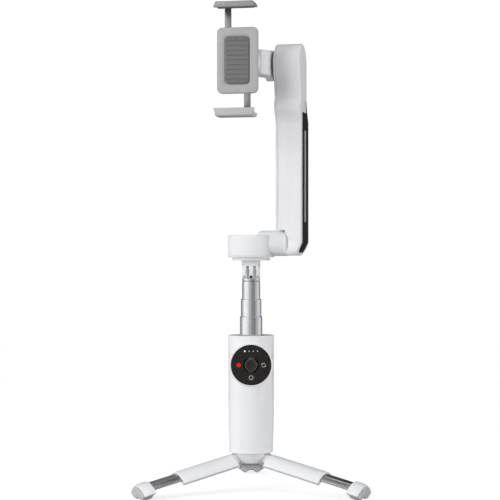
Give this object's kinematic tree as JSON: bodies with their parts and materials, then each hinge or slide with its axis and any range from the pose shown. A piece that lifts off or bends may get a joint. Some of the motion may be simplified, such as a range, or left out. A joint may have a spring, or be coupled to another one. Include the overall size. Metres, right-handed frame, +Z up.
{
  "type": "gimbal stabilizer",
  "caption": "Handheld phone gimbal with a telescopic rod, tilting neck, motorised pan, tilt and roll arm, sprung phone clamp and folding tripod feet.",
  "frame": {"origin": "on the ground under the middle of the bounding box, between the three feet; the handle axis stands 17.3 mm in front of it", "axes": "+Z up along the rod and handle, front with the touch disc towards -Y, +X to the right seen from the front; the head is turned 12 degrees clockwise seen from above"},
  "size_m": [0.1812, 0.1654, 0.3749],
  "materials": {
    "white_body": "satin",
    "black_gloss": "gloss",
    "grey_plastic": "satin",
    "polished_metal": "polished",
    "satin_metal": "brushed",
    "light_rubber": "matte",
    "grey_rubber": "matte",
    "brass_thread": "satin",
    "motor_winding": "satin",
    "circuit_board": "satin",
    "battery_wrap": "satin"
  },
  "bodies": {
    "handle": {"handle_front_shell": "white_body", "handle_rear_shell": "white_body", "handle_top_cap": "white_body", "handle_base_ring": "white_body", "control_board": "circuit_board", "charging_port": "satin_metal", "trigger_pin": "polished_metal", "rod_outer_tube": "satin_metal", "tripod_hub": "white_body", "thread_insert": "brass_thread", "leg_pin_left": "polished_metal", "leg_pin_right": "polished_metal", "leg_pin_rear": "polished_metal"},
    "touch_disc": {"touch_disc": "black_gloss"},
    "joystick_cradle": {"joystick_cradle": "grey_plastic"},
    "joystick": {"joystick": "black_gloss"},
    "power_button": {"power_button": "grey_plastic"},
    "trigger": {"trigger": "white_body"},
    "rod_lower": {"rod_lower_tube": "polished_metal"},
    "rod_middle": {"rod_middle_tube": "polished_metal"},
    "rod_upper": {"rod_upper_tube": "polished_metal", "rod_yoke": "satin_metal", "neck_pin": "polished_metal"},
    "neck": {"neck_fork": "white_body", "pan_stator": "motor_winding"},
    "pan": {"pan_housing": "white_body", "pan_cap": "white_body", "fold_shaft": "satin_metal"},
    "arm": {"arm_shell": "white_body", "arm_inner_cover": "white_body", "arm_inlay": "black_gloss", "arm_trim_strip": "polished_metal", "battery_pack": "battery_wrap", "tilt_stator": "motor_winding"},
    "tilt": {"tilt_rotor": "satin_metal", "tilt_bracket": "white_body", "roll_stator": "motor_winding"},
    "clamp": {"roll_rotor": "satin_metal", "clamp_plate": "satin_metal", "clamp_body": "grey_plastic", "clamp_pad": "grey_rubber", "pinion_spring": "polished_metal"},
    "clamp_pinion": {"clamp_pinion": "grey_plastic"},
    "upper_jaw": {"upper_jaw": "grey_plastic", "upper_jaw_pad": "grey_rubber"},
    "lower_jaw": {"lower_jaw": "grey_plastic", "lower_jaw_pad": "grey_rubber"},
    "leg_left": {"leg_sleeve_left": "white_body"},
    "foot_left": {"leg_bar_left": "satin_metal", "leg_foot_left": "white_body", "leg_sole_left": "light_rubber"},
    "leg_right": {"leg_sleeve_right": "white_body"},
    "foot_right": {"leg_bar_right": "satin_metal", "leg_foot_right": "white_body", "leg_sole_right": "light_rubber"},
    "leg_rear": {"leg_sleeve_rear": "white_body"},
    "foot_rear": {"leg_bar_rear": "satin_metal", "leg_foot_rear": "white_body", "leg_sole_rear": "light_rubber"}
  },
  "joints": [
    {"name": "disc_press", "type": "slide", "parent": "handle", "child": "touch_disc", "axis": [0, 1, 0], "range_m": [0, 0.0004], "stiffness_N_per_m": 800, "springref_m": -0.0005},
    {"name": "stick_up_down", "type": "hinge", "parent": "handle", "child": "joystick_cradle", "pos_m": [0, -0.0307, 0.0992], "axis": [1, 0, 0], "range_deg": [-8, 8], "stiffness_Nm_per_rad": 0.004},
    {"name": "stick_left_right", "type": "hinge", "parent": "joystick_cradle", "child": "joystick", "pos_m": [0, -0.0307, 0.0992], "axis": [0, 0, 1], "range_deg": [-8, 8], "stiffness_Nm_per_rad": 0.004},
    {"name": "power_press", "type": "slide", "parent": "handle", "child": "power_button", "axis": [-1, 0, 0], "range_m": [0, 0.0005], "stiffness_N_per_m": 200, "springref_m": -0.002},
    {"name": "trigger_pull", "type": "hinge", "parent": "handle", "child": "trigger", "pos_m": [0, -0.0031, 0.1094], "axis": [-1, 0, 0], "range_deg": [0, 7], "stiffness_Nm_per_rad": 0.02, "springref_deg": -17.19},
    {"name": "rod_lower_slide", "type": "slide", "parent": "handle", "child": "rod_lower", "axis": [0, 0, 1], "range_m": [-0.0138, 0.057]},
    {"name": "rod_middle_slide", "type": "slide", "parent": "rod_lower", "child": "rod_middle", "axis": [0, 0, 1], "range_m": [-0.0138, 0.057]},
    {"name": "rod_upper_slide", "type": "slide", "parent": "rod_middle", "child": "rod_upper", "axis": [0, 0, 1], "range_m": [-0.0138, 0.057]},
    {"name": "neck_tilt", "type": "hinge", "parent": "rod_upper", "child": "neck", "pos_m": [0, -0.0173, 0.1714], "axis": [1, 0, 0], "range_deg": [0, 90]},
    {"name": "pan_turn", "type": "hinge", "parent": "neck", "child": "pan", "pos_m": [0, -0.0173, 0.19], "axis": [0, 0, 1], "range_deg": [-148, 182]},
    {"name": "arm_fold", "type": "hinge", "parent": "pan", "child": "arm", "pos_m": [0.01956, -0.02146, 0.1937], "axis": [-0.9781, 0.2079, 0], "range_deg": [0, 160]},
    {"name": "tilt_turn", "type": "hinge", "parent": "arm", "child": "tilt", "pos_m": [0.01808, -0.03035, 0.3318], "axis": [0.9781, -0.2079, 0], "range_deg": [-78, 50]},
    {"name": "roll_turn", "type": "hinge", "parent": "tilt", "child": "clamp", "pos_m": [-0.00852, -0.0574, 0.3318], "axis": [-0.2079, -0.9781, 0], "range_deg": [-120, 120]},
    {"name": "upper_jaw_slide", "type": "slide", "parent": "clamp", "child": "upper_jaw", "axis": [0, 0, 1], "range_m": [-0.0068, 0.0032]},
    {"name": "lower_jaw_slide", "type": "slide", "parent": "clamp", "child": "lower_jaw", "axis": [0, 0, -1], "range_m": [-0.0069, 0.0033]},
    {"name": "pinion_turn", "type": "hinge", "parent": "clamp", "child": "clamp_pinion", "pos_m": [-0.01019, -0.06523, 0.3318], "axis": [0.2079, 0.9781, 0], "range_deg": [-98, 46.5]},
    {"name": "leg_fold_left", "type": "hinge", "parent": "handle", "child": "leg_left", "pos_m": [-0.00996, -0.02305, 0.026], "axis": [0.5, -0.866, 0], "range_deg": [0, 78]},
    {"name": "leg_slide_left", "type": "slide", "parent": "leg_left", "child": "foot_left", "axis": [-0.8471, -0.4891, -0.2079], "range_m": [-0.024, 0]},
    {"name": "leg_fold_right", "type": "hinge", "parent": "handle", "child": "leg_right", "pos_m": [0.00996, -0.02305, 0.026], "axis": [0.5, 0.866, 0], "range_deg": [0, 78]},
    {"name": "leg_slide_right", "type": "slide", "parent": "leg_right", "child": "foot_right", "axis": [0.8471, -0.4891, -0.2079], "range_m": [-0.024, 0]},
    {"name": "leg_fold_rear", "type": "hinge", "parent": "handle", "child": "leg_rear", "pos_m": [0, -0.0058, 0.026], "axis": [-1, 0, 0], "range_deg": [0, 78]},
    {"name": "leg_slide_rear", "type": "slide", "parent": "leg_rear", "child": "foot_rear", "axis": [0, 0.9781, -0.2079], "range_m": [-0.024, 0]}
  ],
  "couplings": [
    {"joint": "lower_jaw_slide", "follows": "upper_jaw_slide", "ratio": 1},
    {"joint": "pinion_turn", "follows": "upper_jaw_slide", "rad_per_m": 250}
  ]
}
